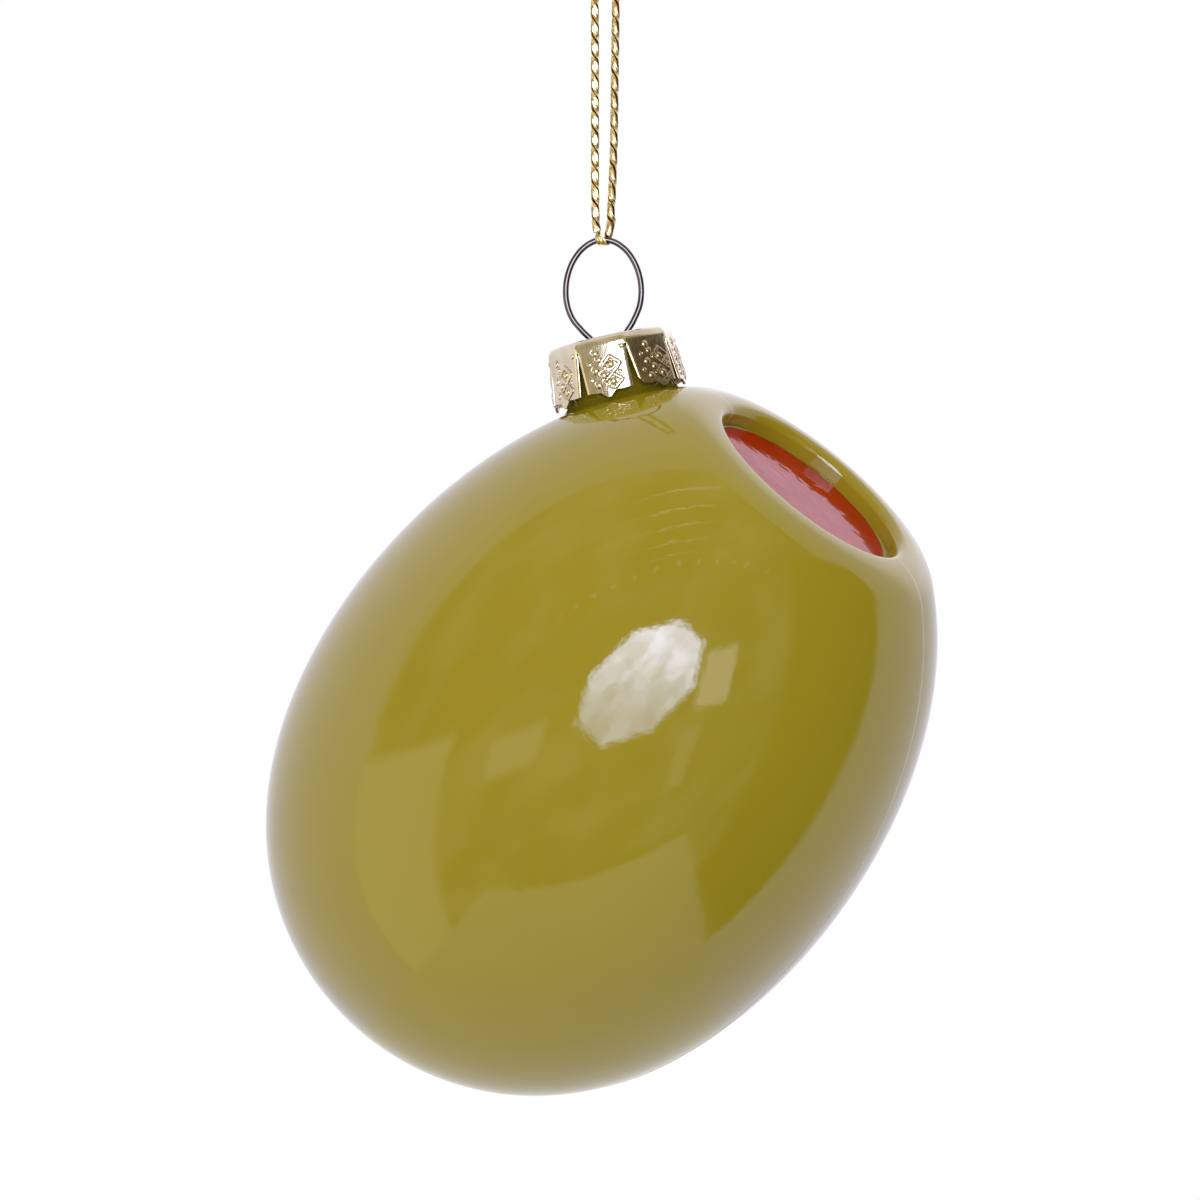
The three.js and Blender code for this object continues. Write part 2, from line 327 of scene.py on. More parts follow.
def make_camera():
    data = bpy.data.cameras.new("camera")
    data.sensor_width = 36
    data.lens = data.sensor_width * focal_pixels / image_pixels
    data.clip_start = 0.01
    data.clip_end = 20
    camera = bpy.data.objects.new("camera", data)
    camera.location = Vector(camera_place) * MM
    camera.rotation_euler = (math.pi / 2, 0, 0)
    bpy.context.scene.collection.objects.link(camera)
    bpy.context.scene.camera = camera


make_camera()

# Cord

left_leg = [
    (-cord_end, 0, cord_top), (-1.1, 0, 1.7), (-1.32, 0, 0.3), (-1.25, 0, -2.5), (-1.05, 0, -7),
    (-0.99, 0, -13), (-0.99, 0, -19), (-0.99, -0.1, -25), (-0.98, -0.35, -30), (-0.93, -0.7, -33),
]
bend = [
    (-0.86, -0.62, 1.6), (-0.66, -0.6, 0.7), (-0.42, -0.54, 0.05), (-0.2, -0.39, -0.36),
    (0.0, 0, -0.53), (0.2, 0.39, -0.36), (0.42, 0.54, 0.05), (0.6, 0.6, 0.7), (0.78, 0.62, 1.5),
]
right_leg = [
    (0.86, 0.7, -33), (1.02, 0.35, -30), (1.2, 0.1, -25), (1.29, 0, -19), (1.38, 0, -13),
    (1.46, 0, -7), (1.52, 0, -2.5), (1.42, 0, 0.3), (1.12, 0, 1.7), (cord_end, 0, cord_top),
]
cord_route = left_leg + [tuple(ring_top + np.array(p)) for p in bend] + right_leg


def ply_angle(reach, ply, phase, pause):
    """Where a ply lies round the cord, all along it."""
    wander = 0.5 * np.sin(1.3 * reach + 2.1 * ply) + 0.3 * np.sin(3.7 * reach + ply)
    angle = phase + 2 * math.pi * (ply / ply_count - reach / cord_lay) + 0.12 * wander
    return angle + pause / ply_count * np.sin(ply_count * angle)


def press_shares(reach, pressed):
    """How far the plies lie side by side, and how much their turn pauses, all along the cord."""
    if pressed is None:
        return np.zeros(len(reach)), np.zeros(len(reach))
    centre, width = pressed
    share = np.clip(1.6 - np.abs(reach - centre) / (width / 2), 0, 1)
    pause = ply_pause * np.clip(np.abs(centre - reach) / pause_start, 0, 1)
    return share * share * (3 - 2 * share), pause


def ply_points(ply, path, angle, offset, flat):
    """One ply's cross-sections along the cord. flat is 1 where the plies lie side by side."""
    sides, others = path_frames(path)
    from_wire = unit((path - ring_top) * np.array([0, 1, 1]))
    across = np.cos(angle)[:, None] * sides + np.sin(angle)[:, None] * others
    across = unit((1 - flat) * across + flat * from_wire)
    beside = np.cross(unit(np.gradient(path, axis=0)), across)
    wire_side = np.array([1.0, 0, 0]) * (ply - (ply_count - 1) / 2) * pressed_spacing
    centres = path + ((1 - flat) * offset[:, None] * across + flat * wire_side)
    side, outward = np.array(ply_section).T
    crease = (0.96 + 0.08 * np.sin(0.9 * reach_along(path) + 1.7 * ply))[:, None]
    wide = side * (1 - 0.35 * flat)
    high = outward * np.where(outward > 0.1, crease, 1) * (1 - 0.1 * flat)
    rings = centres[:, None] + wide[:, :, None] * beside[:, None]
    rings = rings + high[:, :, None] * across[:, None]
    return np.vstack([rings.reshape(-1, 3), centres[:1], centres[-1:]])


def twisted_cord(route, phase=0.0, loosened=None, pressed=None):
    """Plies laid round each other, each a strip whose creased face looks outward.

    loosened is where along the cord a ply stands off, over what length and by how much.
    pressed is where the plies lie side by side against the wire, and over what length they do."""
    path = smooth_path(route, ply_step)
    reach = reach_along(path)
    flat, pause = press_shares(reach, pressed)
    parts = []
    for ply in range(ply_count):
        angle = ply_angle(reach, ply, phase, pause)
        offset = np.full(len(path), ply_offset)
        if loosened is not None and ply == 0:
            centre, width, extra = loosened
            offset += extra * np.exp(-(((reach - centre) / width) ** 2))
        points = ply_points(ply, path, angle, offset, flat[:, None])
        parts.append((points, tube_faces(len(path), len(ply_section))))
    points, faces = join(parts)
    # 1 on the outer face of a ply and 0 in the grooves between the plies, where the material paints
    # painted shade
    face_out = np.clip((np.array(ply_section)[:, 1] - 0.05) / 0.1, 0, 1)
    face_out = np.concatenate([np.tile(face_out, len(path)), [0, 0]])
    return points, faces, np.tile(face_out, ply_count), path


bend_reach = 0.5 * float(reach_along(smooth_path(cord_route, ply_step))[-1])
cord_points, cord_faces, cord_outward, cord_path = twisted_cord(
    cord_route, phase=0.6, loosened=(bend_reach + 3.6, 1.0, 0.2), pressed=(bend_reach - 0.3, 2.2),
)
cord = make_mesh("gold_cord", cord_points, cord_faces, smooth=False)
add_values(cord, "outward", cord_outward)
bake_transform(cord)
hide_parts("hanging_cord")


# Knot

def make_knot():
    """The cord's two ends tied together in an overhand knot, with their tails above it."""
    times = np.linspace(-1.93, 1.93, 26)
    core = np.stack([
        0.5 * (times ** 3 - 3 * times),
        0.33 * (times ** 4 - 4 * times ** 2 + 2),
        0.11 * (times ** 5 - 10 * times),
    ], 1)
    parts = []
    outward = []
    for side in (-1, 1):
        strand = core + side * strand_shift + np.array([0, 0, knot_height])
        foot = [(side * cord_end, 0, cord_top), (side * 0.3, side * 0.1, 3.2)]
        tail = [
            (side * 0.42, side * 0.1, knot_height + 1.7),
            (side * 0.6, side * 0.12, knot_height + 2.9),
            (side * 0.95, side * 0.3, knot_height + 4.4),
            (side * 1.42, side * 0.55, knot_height + 5.9),
        ]
        route = foot + [tuple(p) for p in strand[4:-4]] + tail
        points, faces, values, _ = twisted_cord(route, phase=0.9 * side)
        parts.append((points, faces))
        outward.append(values)
    points, faces = join(parts)
    obj = make_mesh("gold_knot", points, faces, smooth=False)
    add_values(obj, "outward", np.concatenate(outward))
    return obj


knot = make_knot()
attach(knot, "knot")
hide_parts("cord_knot")


# Wire hanger

def make_wire():
    """One wire: up a leg, round the oval ring and down the other leg, with rounded ends."""
    across = np.array([math.cos(cap_lean), 0, math.sin(cap_lean)])
    down = np.array([math.sin(cap_lean), 0, -math.cos(cap_lean)])
    middle = ring_top - np.array([0, 0, ring_half_height])
    step = 0.16

    def leg(side):
        points = []
        for share in (0, 0.06, 0.2, 0.5, 1):
            apart = wire_spacing / 2 + wire_spread * share ** leg_bend
            points.append(cap_top + across * side * apart + down * wire_drop * share)
        return points

    def oval(angle):
        half_width = ring_half_width * (1 - ring_egg * math.cos(angle))
        return middle + np.array([half_width * math.sin(angle), 0, ring_half_height * math.cos(angle)])

    ring_points = [oval(angle) for angle in np.linspace(-left_sweep, right_sweep, 13)]
    path = smooth_path(leg(-1)[::-1] + ring_points + leg(1), step)
    ends = np.minimum(np.arange(len(path)), np.arange(len(path))[::-1]) * step
    radius = wire_radius * np.sqrt(1 - (1 - np.minimum(ends / 0.3, 1)) ** 2 * 0.7)
    points, faces = sweep(path, radius, 20)
    return make_mesh("wire_ring", points, faces)


wire = make_wire()
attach(wire, "hanger")
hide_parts("hanger_wire")


# Crown cap

# Raised marks on a petal: across from its middle and down from the cap's top, in millimetres
petal_dots = [
    (-0.85, -1.65, 0.31), (-0.55, -2.45, 0.27), (-1.15, -3.65, 0.31), (-0.28, -4.35, 0.3),
    (-1.05, -5.35, 0.3), (-1.75, -2.75, 0.14), (-1.85, -4.6, 0.14), (0.78, -3.2, 0.3),
    (0.74, -5.2, 0.3), (2.45, -1.3, 0.22), (1.75, -4.25, 0.16), (0.02, -3.45, 0.16),
]
petal_diamonds = [(0.82, -3.25, 1.0, 1.1), (0.8, -5.15, 0.86, 1.12)]
# For each petal round from the right: how far its marks stand to the side and its tab, the length
# of the tab and how far the edges stand back from the neighbours at the foot
petal_shapes = [
    (0.1, 0.1, 6.9, 0.42, 0.5), (-0.2, -0.1, 6.85, 0.5, 0.42), (0.2, 0.2, 6.95, 0.4, 0.46),
    (-0.1, 0.0, 6.9, 0.46, 0.4), (-0.35, -0.35, 7.0, 0.44, 0.6), (0.0, 0.0, 7.02, 0.52, 0.3),
    (0.4, 0.75, 6.9, 0.85, 0.45), (0.0, -0.2, 6.85, 0.85, 0.44),
]
cut_petal = 6  # this one, right of the front, has a cut corner, and below its fold it is painted darker than the rest: a painted dark reflection
hole_points = 32


def relief(across, height):
    """How far the stamped pattern stands out of a petal."""
    raised = np.zeros(np.broadcast(across, height).shape)
    for x, z, radius in petal_dots:
        far = np.hypot(across - x, height - z) / radius
        raised = np.maximum(raised, 0.72 * radius * np.sqrt(np.maximum(1 - far ** 2, 0)))
    for x, z, high, wide in petal_diamonds:
        edge = np.abs(across - x) / wide + np.abs(height - z) / high
        ridge = np.maximum(1 - np.abs(edge - 1) / 0.17, 0)
        raised = np.maximum(raised, 0.18 * ridge * ridge * (3 - 2 * ridge))
    return raised


def crown_place(radius, angle, height):
    """A place on the crown, whose sides are pulled towards an octagon."""
    from_middle = np.mod(angle - petal_phase, 2 * petal_half) - petal_half
    facet = math.cos(petal_half) / np.cos(from_middle)
    size = radius * (1 - petal_flatness * (1 - facet))
    return ring(size, angle, height + 0 * angle)


def side_radius(height):
    """The crown widens below its fold."""
    return cap_radius + cap_flare * np.clip((-height - cap_fold) / 6.1, 0, 1.2)


def petal_middle(petal):
    return petal_phase + (2 * petal + 1) * petal_half


def petal_angles(petal, height):
    """Directions of a petal's columns, which draw together towards its foot."""
    down = np.clip((petal_start - height) / (petal_length + petal_start), 0, 1)
    left, right = petal_shapes[petal][3:]
    low = -petal_half + (0.08 + (left - 0.08) * down) / side_radius(height)
    high = petal_half - (0.08 + (right - 0.08) * down) / side_radius(height)
    return (low + high) / 2 + petal_shares * (high - low) / 2


def petal_foot(across, tab_side, tab_length):
    """Height of a petal's lower edge, with the pointed tab that hangs from it."""
    tab = np.clip((0.95 - np.abs(across - tab_side)) / 0.8, 0, 1)
    return -petal_length - (tab_length - petal_length) * tab + 0.05 * np.sin(2.3 * across + tab_length)


def crown_top():
    """Rings from the wire holes' surround out over the fold and down to the start of the petals."""
    angles = np.concatenate([
        petal_middle(petal) + petal_angles(petal, petal_start) for petal in range(petal_count)
    ])
    round_radius = cap_radius - cap_fold
    rings = [crown_place(radius, angles, 0.0) for radius in (4.9, 5.6, 6.2, round_radius - 0.25)]
    for turn in np.linspace(0, math.pi / 2, 8):
        radius = round_radius + cap_fold * math.sin(turn)
        rings.append(crown_place(radius, angles, -cap_fold + cap_fold * math.cos(turn)))
    for height in (-0.95, -1.07, petal_start):
        rings.append(crown_place(side_radius(height), angles, height))
    return rings


def petal_rings(petal):
    """Rows of a petal below the top, with its stamped pattern and its edges curled in."""
    marks_side, tab_side, tab_length = petal_shapes[petal][:3]
    across = petal_angles(petal, -petal_length) * side_radius(-petal_length)
    foot = petal_foot(across, tab_side, tab_length)
    if petal == cut_petal:
        # Its lower left corner is cut off at a slant
        foot = np.maximum(foot, -5.3 - 7.5 * (petal_shares + 1))
    rings = []
    for row in range(1, petal_rows + 1):
        height = petal_start + (foot - petal_start) * row / petal_rows
        angle = petal_angles(petal, height)
        across = angle * side_radius(height)
        to_edge = np.minimum(angle - angle[0], angle[-1] - angle) * side_radius(height)
        curl = 0.13 * np.clip(1 - to_edge / 0.3, 0, 1) ** 2 * min(row / 6, 1)
        bend_in = 0.1 * math.sin(2.3 * petal) * (row / petal_rows) ** 2
        size = side_radius(height) + bend_in + relief(across - marks_side, height) - curl
        rings.append(crown_place(size, petal_middle(petal) + angle, height))
    return rings


def wire_holes():
    """For each hole in the cap's top, its edge and a second ring pressed down inside it."""
    angles = round_angles(hole_points)
    rings = []
    for side in (-1, 1):
        across = side * wire_spacing / 2 + 1.0 * np.cos(angles)
        edge = np.stack([across, 0.62 * np.sin(angles), 0 * angles], 1)
        rings += [edge, edge * np.array([1, 0.9, 1]) - np.array([0.06 * side, 0, 0.22])]
    return rings


def make_cap():
    rings = crown_top()
    wide = len(rings[0])
    faces = grid_faces(len(rings), wide, closed=True)
    first_edge = (len(rings) - 1) * wide
    count = len(rings) * wide
    for petal in range(petal_count):
        rings += petal_rings(petal)
        top = first_edge + petal * (petal_columns + 1)
        for j in range(petal_columns):
            faces.append((top + j, top + j + 1, count + j + 1, count + j))
        faces += grid_faces(petal_rows, petal_columns + 1, first=count)
        count += petal_rows * (petal_columns + 1)
    holes = wire_holes()
    flat = np.vstack(rings + holes)
    loops = [list(range(wide))]
    for first in (count, count + 2 * hole_points):
        loops.append(list(range(first, first + hole_points)))
        faces += grid_faces(2, hole_points, closed=True, first=first)
    faces += fill_between(loops, flat)
    obj = make_mesh("crown", from_neck(flat), faces)
    # The cut petal is darkened below its fold: a painted dark reflection
    turned = np.mod(np.arctan2(flat[:, 1], flat[:, 0]) - petal_middle(cut_petal) + math.pi, 2 * math.pi)
    in_petal = np.clip((petal_half + 0.03 - np.abs(turned - math.pi)) / 0.06, 0, 1)
    add_values(obj, "painted_petal_shade", in_petal * np.clip((-flat[:, 2] - 0.5) / 1.5, 0, 1))
    solid = obj.modifiers.new("sheet", "SOLIDIFY")
    solid.thickness = cap_sheet * MM
    solid.offset = -1
    solid.use_even_offset = False
    return obj


cap = make_cap()
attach(cap, "cap")
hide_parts("cap_crown")


# Glass olive

def pit_plan():
    """Where the body turns over into the lip: the angle, and the radius and height of its crest."""
    join_radius = float(body_radius(lip_station))
    share = (lip_station / pit_side_length) ** 2
    bulge = 1 - pit_side_fullness + 2 * pit_side_fullness * share
    slope = (belly_radius / pit_side_length) ** 2 * lip_station * bulge / join_radius
    join_angle = math.atan(1 / slope)
    crest_radius = join_radius - lip_shoulder * math.sin(join_angle)
    crest = lip_station + lip_shoulder * (1 - math.cos(join_angle))
    return join_angle, crest_radius, crest


join_angle, crest_radius, crest = pit_plan()
wall_radius = crest_radius - lip_inner
face_station = crest - pit_depth
floor_station = face_station - red_depth


def arc(centre, radius, start, stop, steps):
    """Points of an arc in the outline, by angles from straight up."""
    angles = np.linspace(start, stop, steps + 1)
    return np.stack([centre[0] + radius * np.sin(angles), centre[1] + radius * np.cos(angles)], 1)


def glass_outline(fine):
    """Radius and height up the outside from the blind end, over the lip and down to the floor."""
    angles = np.linspace(0.02, math.pi / 2, 40 * fine)
    blind = -blind_side_length * np.cos(angles)
    angles = np.linspace(0, math.asin(lip_station / pit_side_length), 34 * fine)[1:-1]
    pit = pit_side_length * np.sin(angles)
    stations = np.concatenate([blind, pit])
    body = np.stack([body_radius(stations), stations], 1)
    shoulder = arc((crest_radius, crest - lip_shoulder), lip_shoulder, join_angle, 0, 14 * fine)
    lip = arc((crest_radius, crest - lip_inner), lip_inner, 0, -math.pi / 2, 12 * fine)[1:]
    wall_end = floor_station + pit_fillet
    wall = np.array([[wall_radius, crest - lip_inner + (wall_end - crest + lip_inner) * 0.5]])
    fillet = arc((wall_radius - pit_fillet, wall_end), pit_fillet, math.pi / 2, math.pi, 6 * fine)
    floor = np.stack([np.linspace(wall_radius - pit_fillet, 0.25, 7)[1:], np.full(6, floor_station)], 1)
    return np.vstack([body, shoulder, lip, wall, fillet, floor])


def outline_normals(outline):
    """Outward directions along an outline."""
    along = np.gradient(outline, axis=0)
    return unit(np.stack([along[:, 1], -along[:, 0]], 1))


def from_seam(angle):
    """Angle to the nearer of the seam's two halves, which face each other across the glass."""
    return np.mod(angle - seam_azimuth + math.pi / 2, math.pi) - math.pi / 2


def seam_height(angle):
    """The mould seam is a fine ridge that runs round the glass from end to end."""
    share = np.clip(np.abs(from_seam(angle)) / seam_half_width, 0, 1)
    return seam_rise * (0.5 + 0.5 * np.cos(math.pi * share))


def body_columns():
    """Angles of the outer grid's columns, closer together across the seam."""
    plain = round_angles(outer_columns) + seam_azimuth + seam_clear
    fine = seam_half_width * np.array([-2, -1, -0.66, -0.33, 0, 0.33, 0.66, 1, 2])
    near = np.concatenate([seam_azimuth + fine, seam_azimuth + math.pi + fine])
    kept = [a for a in plain if abs(from_seam(a)) > seam_clear]
    return np.sort(np.mod(np.concatenate([kept, near]), 2 * math.pi))


def skin_outline(depth):
    """The outline at a depth inside the outside, and the outward direction at each of its points."""
    outline = glass_outline(1)
    fine = glass_outline(8)
    near = [int(np.argmin(np.sum((fine - point) ** 2, 1))) for point in outline]
    slopes = outline_normals(fine)[near]
    return outline - depth * slopes, slopes


def skin_grid(depth, outline, slopes, angles):
    """Points of the body's grid and outward directions there, with the seam's ridge outside."""
    # The seam stands out of the outer skin and fades towards the lip
    fade = np.clip((crest - 1.0 - outline[:, 1:2]) / seam_fade, 0, 1) * (depth == 0)
    ridge = seam_height(angles)[None, :] * fade
    size = outline[:, :1] + ridge * slopes[:, :1]
    points = ring(size, angles, outline[:, 1:2] + ridge * slopes[:, 1:2])
    step = 1e-4
    rise = (seam_height(angles + step) - seam_height(angles - step)) / (2 * step)
    tilt = rise[None, :] * fade / np.maximum(outline[:, :1], 1.0)
    sideways = np.stack([np.sin(angles), -np.cos(angles), 0 * angles], -1)
    out = ring(slopes[:, :1], angles, slopes[:, 1:2] + 0 * tilt) + tilt[:, :, None] * sideways
    return from_olive(points.reshape(-1, 3)), unit(out.reshape(-1, 3)) @ olive_turn.T


def glass_skin(depth, patch_radius):
    """Body grid at a depth inside the outside, open where the neck goes through it."""
    outline, slopes = skin_outline(depth)
    angles = round_angles(inner_columns) if depth else body_columns()
    points, out = skin_grid(depth, outline, slopes, angles)
    if depth:
        out = -out
    local = to_neck(points)
    near_axis = np.hypot(local[:, 0], local[:, 1]) < patch_radius + 0.25
    near_neck = near_axis & (local[:, 2] > lowest_neck)
    rows, columns = len(outline), len(angles)
    faces = [
        face for face in grid_faces(rows, columns, closed=True)
        if not any(near_neck[corner] for corner in face)
    ]
    faces += [tuple(range(columns))[::-1], tuple(range((rows - 1) * columns, rows * columns))]
    return points, out, faces


def hole_loop(faces):
    """The loop of edges round the hole that the neck goes through."""
    count = {}
    for face in faces:
        for i, corner in enumerate(face):
            pair = (corner, face[(i + 1) % len(face)])
            count[pair] = count.get(pair, 0) + 1
    following = {a: b for a, b in count if (b, a) not in count}
    loop = [next(iter(following))]
    while following[loop[-1]] != loop[0]:
        loop.append(following[loop[-1]])
    return loop


def body_height(depth, radius, angle):
    """Height, along the neck, at which the body's skin lies at a distance from the neck's axis."""
    outline = glass_outline(8)
    past_body = int(np.argmin(outline[:, 1] < lip_station))
    inner = (outline - depth * outline_normals(outline))[:past_body]
    arc_centre = crest - lip_shoulder
    join = arc_centre + (lip_shoulder - depth) * math.cos(join_angle)
    low = np.full(np.shape(angle), -24.0)
    high = np.full(np.shape(angle), -1.0)
    # The height is between low and high, and each step halves the space between them
    for _ in range(46):
        middle = (low + high) / 2
        place = to_olive(from_neck(ring(radius, angle, middle)))
        if depth:
            skin = np.interp(place[..., 2], inner[:, 1], inner[:, 0])
        else:
            skin = body_radius(np.clip(place[..., 2], -blind_side_length, lip_station))
        far = np.hypot(place[..., 0], place[..., 1])
        past_arc = np.hypot(far - crest_radius, place[..., 2] - arc_centre) > lip_shoulder - depth
        outside = np.where(place[..., 2] > join, past_arc, far > skin)
        high = np.where(outside, middle, high)
        low = np.where(outside, low, middle)
    return (low + high) / 2


def neck_rings(depth, neck, flare, patch_radius, angles, steps):
    """Rings from the body's skin in to the foot of the neck, with the fillet between them."""
    foot = neck + flare
    rings = []
    for radius in np.linspace(patch_radius, foot, 4)[:-1]:
        rings.append((radius, 0.0))
    for turn in np.linspace(0, math.radians(86), steps):
        rings.append((foot - flare * math.sin(turn), flare * (1 - math.cos(turn))))
    points = []
    for radius, lift in rings:
        height = body_height(depth, np.full(len(angles), radius), angles) + lift
        points.append(ring(radius, angles, height))
    return points


def ring_normals(rings):
    """Outward directions at the points of a stack of rings."""
    grid = np.stack(rings)
    down = np.gradient(grid, axis=0)
    along = np.roll(grid, -1, axis=1) - np.roll(grid, 1, axis=1)
    return unit(np.cross(along, down)).reshape(-1, 3)


def neck_skin(angles):
    """Rings from the outer skin up the neck, over its rim and down the bore to the inner skin."""
    rings = neck_rings(0.0, neck_radius, neck_flare, outer_patch, angles, 16)
    foot = rings[-1][:, 2]
    straight = neck_top - neck_rim
    for share in (0.25, 0.5, 0.75, 1):
        rings.append(ring(neck_radius, angles, foot + (straight - foot) * share))
    for turn in np.linspace(0, math.pi, 11)[1:]:
        radius = (neck_radius + neck_bore) / 2 + neck_rim * math.cos(turn)
        height = np.full(len(angles), straight + neck_rim * math.sin(turn))
        rings.append(ring(radius, angles, height))
    return rings + neck_rings(glass_wall, neck_bore, inner_flare, inner_patch, angles, 10)[::-1]


def make_glass():
    """The outer skin, the neck and the inner skin, each joined to the next round the neck."""
    angles = round_angles(neck_columns)
    points, normals, faces = glass_skin(0.0, outer_patch)
    outer_loop = hole_loop(faces)
    rings = neck_skin(angles)
    first = len(points)
    faces += grid_faces(len(rings), len(angles), closed=True, first=first)
    points = np.vstack([points, from_neck(np.vstack(rings))])
    normals = np.vstack([normals, ring_normals(rings) @ neck_turn.T])
    top_ring = list(range(first, first + len(angles)))
    faces += fill_between([outer_loop, top_ring], to_neck(points))
    inside = len(points)
    last_ring = list(range(inside - len(angles), inside))
    skin, out, skin_faces = glass_skin(glass_wall, inner_patch)
    inner_loop = [inside + corner for corner in hole_loop(skin_faces)]
    points = np.vstack([points, skin])
    normals = np.vstack([normals, out])
    faces += [tuple(inside + corner for corner in face)[::-1] for face in skin_faces]
    faces += [face[::-1] for face in fill_between([inner_loop, last_ring], to_neck(points))]
    obj = make_mesh("glass_olive", points, faces, normals)
    # The seam's ridge is painted pale along its length: a painted highlight for its glint
    place = to_olive(points)
    seam_glint = np.sqrt(seam_height(np.arctan2(place[:, 1], place[:, 0])) / seam_rise)
    seam_glint = seam_glint * np.clip(crest + 0.6 - place[:, 2], 0, 1)
    seam_glint[first:] = 0
    add_values(obj, "seam", seam_glint)
    return obj


glass = make_glass()
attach(glass, "glass")
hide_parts("olive_shell")


# Red face

def make_red():
    """A coat brushed on by hand, so its edge wavers and its top is not quite even."""
    columns = 220
    angles = round_angles(columns)
    edge = np.array([
        red_radius + 0.24 * noise.noise(Vector((1.3 * math.cos(a), 1.3 * math.sin(a), 0.4)))
        + 0.2 * noise.noise(Vector((5 * math.cos(a), 5 * math.sin(a), 2.4)))
        for a in angles
    ])
    level = np.ones(columns)
    flat_rings = 30
    rings = [
        (share * (edge - red_rounding), face_station * level) for share in np.linspace(0.02, 1, flat_rings)
    ]
    for turn in np.linspace(0, math.pi / 2, 6)[1:]:
        radius = edge - red_rounding + red_rounding * math.sin(turn)
        rings.append((radius, face_station * level - red_rounding * (1 - math.cos(turn))))
    rings.append((edge, floor_station * level))
    points = np.vstack([ring(radius, angles, height) for radius, height in rings])
    for point in points[: flat_rings * columns]:
        point[2] += 0.035 * noise.noise(Vector((point[0] * 0.22, point[1] * 0.22, 1.0)))
        point[2] += 0.012 * noise.noise(Vector((point[0] * 0.9, point[1] * 0.9, 5.0)))
    faces = [face[::-1] for face in grid_faces(len(rings), columns, closed=True)]
    faces.append(tuple(range(columns)))
    return make_mesh("red_face", from_olive(points), faces)


red = make_red()
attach(red, "glass")
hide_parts("pimento")


# Materials

class Sheet:
    """A node tree with short ways to add nodes to it."""

    def __init__(self, tree):
        self.tree = tree
        tree.nodes.clear()

    def node(self, kind, settings=None, numbered=(), **named):
        """A new node, with values for its first sockets and for those it has by name."""
        made = self.tree.nodes.new("ShaderNode" + kind)
        for key, value in (settings or {}).items():
            setattr(made, key, value)
        for i, value in enumerate(numbered):
            self.set(made, i, value)
        for key, value in named.items():
            self.set(made, key.replace("_", " "), value)
        return made

    def set(self, node, key, value):
        socket = node.inputs[key]
        if isinstance(value, bpy.types.NodeSocket):
            self.tree.links.new(value, socket)
        else:
            socket.default_value = value

    def math(self, operation, *values):
        return self.node("Math", {"operation": operation}, values).outputs[0]

    def times(self, first, *others):
        for other in others:
            first = self.math("MULTIPLY", first, other)
        return first

    def vector_math(self, operation, first, second):
        made = self.node("VectorMath", {"operation": operation}, [first])
        self.set(made, "Scale" if operation == "SCALE" else 1, second)
        return made.outputs["Value" if operation in ("DOT_PRODUCT", "DISTANCE") else "Vector"]

    def mix(self, share, low, high, blend="MIX"):
        made = self.node("Mix", {"data_type": "RGBA", "blend_type": blend}, [share])
        # The node's sockets for colours come after those for numbers and vectors
        self.set(made, 6, low)
        self.set(made, 7, high)
        return made.outputs[2]

    def noise(self, vector, scale, detail=2.0):
        return self.node("TexNoise", Vector=vector, Scale=scale, Detail=detail).outputs["Fac"]

    def fit(self, value, low, high, to_low=0.0, to_high=1.0):
        return self.node("MapRange", None, (value, low, high, to_low, to_high)).outputs[0]

    def window(self, value, low, high, soft):
        """1 between low and high, falling softly to 0 outside."""
        rising = self.fit(value, low - soft, low + soft)
        return self.times(rising, self.fit(value, high - soft, high + soft, 1.0, 0.0))

    def clouds(self, place, scale, detail, low, high, *colours):
        """Two colours mixed by a noise, the first where it is under low."""
        return self.mix(self.fit(self.noise(place, scale, detail), low, high), *colours)

    def values(self, name):
        """The values that add_values gave to a mesh."""
        return self.node("Attribute", {"attribute_name": name}).outputs["Fac"]

    def bump(self, height, distance, normal=None):
        made = self.node("Bump", Height=height, Distance=distance, Strength=1.0)
        if normal is not None:
            self.set(made, "Normal", normal)
        return made.outputs[0]


def new_material(name, **inputs):
    material = bpy.data.materials.new(name)
    material.use_nodes = True
    sheet = Sheet(material.node_tree)
    shader = sheet.node("BsdfPrincipled", **inputs)
    sheet.node("OutputMaterial", Surface=shader.outputs[0])
    place = sheet.node("TexCoord").outputs["Object"]
    return material, sheet, shader, place


def glass_material():
    material, sheet, shader, place = new_material("olive_lacquer", IOR=1.5, Roughness=0.03)
    greens = ((0.378, 0.286, 0.0122, 1), (0.396, 0.302, 0.0132, 1))
    colour = sheet.clouds(place, 45.0, 3.0, 0.3, 0.7, *greens)
    # Painted highlight: pale colour along the seam's ridge
    colour = sheet.mix(sheet.values("seam"), colour, (0.68, 0.63, 0.47, 1))
    swell = sheet.bump(sheet.noise(place, 32.0, 1.0), 0.00012)
    swell = sheet.bump(sheet.noise(place, 850.0), 0.000011, swell)
    # Painted shade: the colour is darker round the foot of the neck, under the cap; and ripples where the
    # glass was drawn up into the neck
    axis = tuple(neck_turn[:, 2])
    from_top = sheet.vector_math("SUBTRACT", place, tuple(cap_top * MM))
    along = sheet.vector_math("DOT_PRODUCT", from_top, axis)
    aside = sheet.vector_math("DISTANCE", from_top, sheet.vector_math("SCALE", axis, along))
    upper = sheet.fit(along, -0.024, -0.016)
    neck_shade = sheet.times(upper, sheet.fit(aside, 0.0069, 0.0092, 1.0, 0.0))
    sheet.set(shader, "Base Color", sheet.mix(neck_shade, colour, (0.25, 0.187, 0.008, 1)))
    near = sheet.times(upper, sheet.fit(aside, 0.0072, 0.0115, 1.0, 0.0))
    ripple = sheet.times(sheet.noise(place, 620.0), near)
    sheet.set(shader, "Normal", sheet.bump(ripple, 0.0001, swell))
    return material


